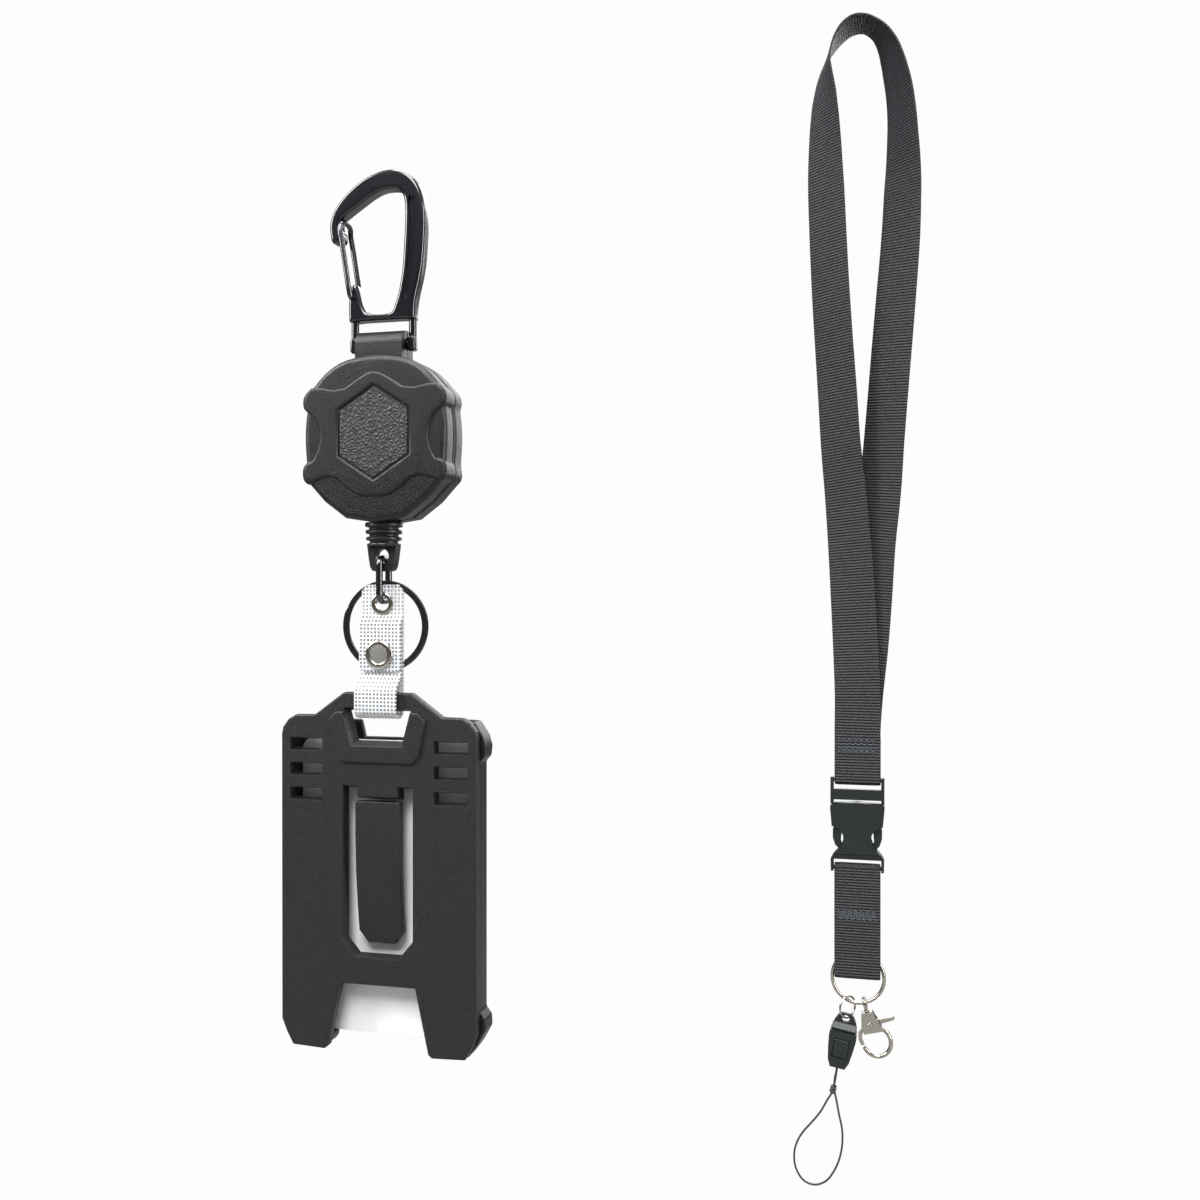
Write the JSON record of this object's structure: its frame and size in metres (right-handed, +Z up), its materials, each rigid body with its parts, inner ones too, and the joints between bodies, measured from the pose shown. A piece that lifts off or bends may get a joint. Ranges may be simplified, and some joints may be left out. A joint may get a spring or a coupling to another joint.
{
  "type": "lanyard badge holder",
  "caption": "Carabiner reel carrying a rigid open-faced card holder on a vinyl strap, with a separate webbing neck lanyard ending in a side-release buckle, trigger hook and phone string",
  "frame": {"origin": "the point inside the top bend of the carabiner where it rests on a peg or loop", "axes": "+Z up, +X to the right and -Y towards a viewer facing the holder front; the neck lanyard hangs behind and to the right"},
  "size_m": [0.1833, 0.2426, 0.5139],
  "materials": {
    "gloss_black": "glossy blue-black",
    "black_plastic": "fine spark-eroded grain",
    "inlay": "pebbled grain",
    "gunmetal": "dark polished plating",
    "nickel": "bright nickel plating",
    "spring_steel": "rolled",
    "zinc": "zinc plated",
    "cord": "braided",
    "nylon": "natural moulded",
    "vinyl": "clear sheet over a woven mesh",
    "card": "smooth blank",
    "webbing": "ribbed polyester",
    "buckle": "satin moulded"
  },
  "bodies": {
    "hang": {"carabiner_body": "gloss_black", "neck_strap": "webbing"},
    "gate": {"carabiner_gate": "gunmetal"},
    "reel": {"reel_front_cover": "black_plastic", "reel_back_cover": "black_plastic", "hex_inlay": "inlay", "case_screw_1": "zinc", "case_screw_2": "zinc", "case_screw_3": "zinc", "case_screw_4": "zinc", "drum_post": "zinc", "power_spring": "spring_steel", "cord_guide": "nickel", "cord_lead": "cord"},
    "drum": {"cord_drum": "nylon", "wound_cord": "cord"},
    "cord": {"pull_cord": "cord"},
    "end": {"cord_end": "black_plastic"},
    "link": {"link_ring": "gunmetal"},
    "keyring": {"key_ring": "gunmetal"},
    "strap": {"clip_strap": "vinyl", "strap_eyelet": "nickel", "snap_cap": "nickel", "snap_stud": "nickel"},
    "holder": {"holder_front": "black_plastic", "holder_rear_frame": "black_plastic"},
    "finger": {"spring_finger": "black_plastic"},
    "card": {"id_card": "card"},
    "buckle": {"buckle_male": "buckle", "buckle_female": "buckle"},
    "prong_left": {"buckle_prong_left": "buckle"},
    "prong_right": {"buckle_prong_right": "buckle"},
    "tail": {"lower_strap": "webbing"},
    "ring": {"strap_ring": "nickel"},
    "swivel": {"hook_swivel": "nickel"},
    "hook": {"hook_body": "nickel", "hook_rivet": "nickel"},
    "lever": {"hook_lever": "nickel"},
    "wire_ring": {"small_ring": "nickel"},
    "cap": {"connector_cap": "buckle"},
    "socket": {"connector_body": "buckle", "string_loop": "cord"},
    "button": {"connector_button": "buckle"}
  },
  "joints": [
    {"name": "gate_open", "type": "hinge", "parent": "hang", "child": "gate", "pos_m": [-0.009, 0, -0.0308], "axis": [0, 1, 0], "range_deg": [0, 35], "stiffness_Nm_per_rad": 0.06, "springref_deg": -14.32},
    {"name": "reel_swing", "type": "hinge", "parent": "hang", "child": "reel", "pos_m": [0, 0, -0.0446], "axis": [1, 0, 0], "range_deg": [-75, 75]},
    {"name": "cord_pull", "type": "slide", "parent": "reel", "child": "cord", "axis": [0, 0, -1], "range_m": [0, 0.6], "stiffness_N_per_m": 1.5, "springref_m": -0.8, "deforming": ["pull_cord"]},
    {"name": "drum_spin", "type": "hinge", "parent": "reel", "child": "drum", "pos_m": [0, 0, -0.0718], "axis": [0, -1, 0], "range_deg": [0, 2600]},
    {"name": "cord_twist", "type": "hinge", "parent": "cord", "child": "end", "pos_m": [0, 0, -0.098], "axis": [0, 0, 1], "continuous": true},
    {"name": "link_swing", "type": "hinge", "parent": "end", "child": "link", "pos_m": [0, 0, -0.10655], "axis": [0, 1, 0], "range_deg": [-45, 45]},
    {"name": "key_ring_swing", "type": "hinge", "parent": "link", "child": "keyring", "pos_m": [0, 0.001, -0.1137], "axis": [-1, 0, 0], "range_deg": [-40, 0]},
    {"name": "strap_swing", "type": "hinge", "parent": "link", "child": "strap", "pos_m": [0, -0.00075, -0.1187], "axis": [0, 1, 0], "range_deg": [-35, 35]},
    {"name": "holder_swing", "type": "hinge", "parent": "strap", "child": "holder", "pos_m": [0, -0.00335, -0.1477], "axis": [-1, 0, 0], "range_deg": [-8, 8]},
    {"name": "finger_flex", "type": "hinge", "parent": "holder", "child": "finger", "pos_m": [0, -0.00335, -0.178], "axis": [1, 0, 0], "range_deg": [-6, 0], "stiffness_Nm_per_rad": 2},
    {"name": "card_slide", "type": "slide", "parent": "holder", "child": "card", "axis": [0, 0, 1], "range_m": [0, 0.038]},
    {"name": "buckle_swing", "type": "hinge", "parent": "hang", "child": "buckle", "pos_m": [0.124, 0.225, -0.1977], "axis": [1, 0, 0], "range_deg": [-15, 15]},
    {"name": "prong_left_squeeze", "type": "hinge", "parent": "buckle", "child": "prong_left", "pos_m": [0.1166, 0.225, -0.2118], "axis": [0, -1, 0], "range_deg": [0, 8], "stiffness_Nm_per_rad": 1},
    {"name": "prong_right_squeeze", "type": "hinge", "parent": "buckle", "child": "prong_right", "pos_m": [0.1314, 0.225, -0.2118], "axis": [0, 1, 0], "range_deg": [0, 8], "stiffness_Nm_per_rad": 1},
    {"name": "tail_swing", "type": "hinge", "parent": "buckle", "child": "tail", "pos_m": [0.124, 0.225, -0.2364], "axis": [1, 0, 0], "range_deg": [-15, 15]},
    {"name": "ring_turn", "type": "hinge", "parent": "tail", "child": "ring", "pos_m": [0.1243, 0.225, -0.2847], "axis": [0, 1, 0], "range_deg": [-40, 40]},
    {"name": "hook_swing", "type": "hinge", "parent": "ring", "child": "swivel", "pos_m": [0.1271, 0.225, -0.29554], "axis": [0.9681, 0, 0.2504], "range_deg": [-50, 50]},
    {"name": "hook_spin", "type": "hinge", "parent": "swivel", "child": "hook", "pos_m": [0.1271, 0.225, -0.29554], "axis": [0.2504, 0, -0.9681], "range_deg": [-90, 90]},
    {"name": "lever_open", "type": "hinge", "parent": "hook", "child": "lever", "pos_m": [0.12951, 0.225, -0.30484], "axis": [0, 1, 0], "range_deg": [-25, 0], "stiffness_Nm_per_rad": 0.02, "springref_deg": 17.19},
    {"name": "wire_ring_swing", "type": "hinge", "parent": "ring", "child": "wire_ring", "pos_m": [0.11975, 0.225, -0.29493], "axis": [0.9135, 0, -0.4067], "range_deg": [-20, 20]},
    {"name": "connector_swing", "type": "hinge", "parent": "wire_ring", "child": "cap", "pos_m": [0.11912, 0.22425, -0.30298], "axis": [0, 1, 0], "range_deg": [-4, 40]},
    {"name": "connector_release", "type": "slide", "parent": "cap", "child": "socket", "axis": [-0.1736, 0, -0.9848], "range_m": [0, 0.012]},
    {"name": "button_press", "type": "slide", "parent": "socket", "child": "button", "axis": [0, 1, 0], "range_m": [0, 0.0006], "stiffness_N_per_m": 500}
  ],
  "couplings": [
    {"joint": "drum_spin", "follows": "cord_pull", "rad_per_m": 74.07}
  ]
}
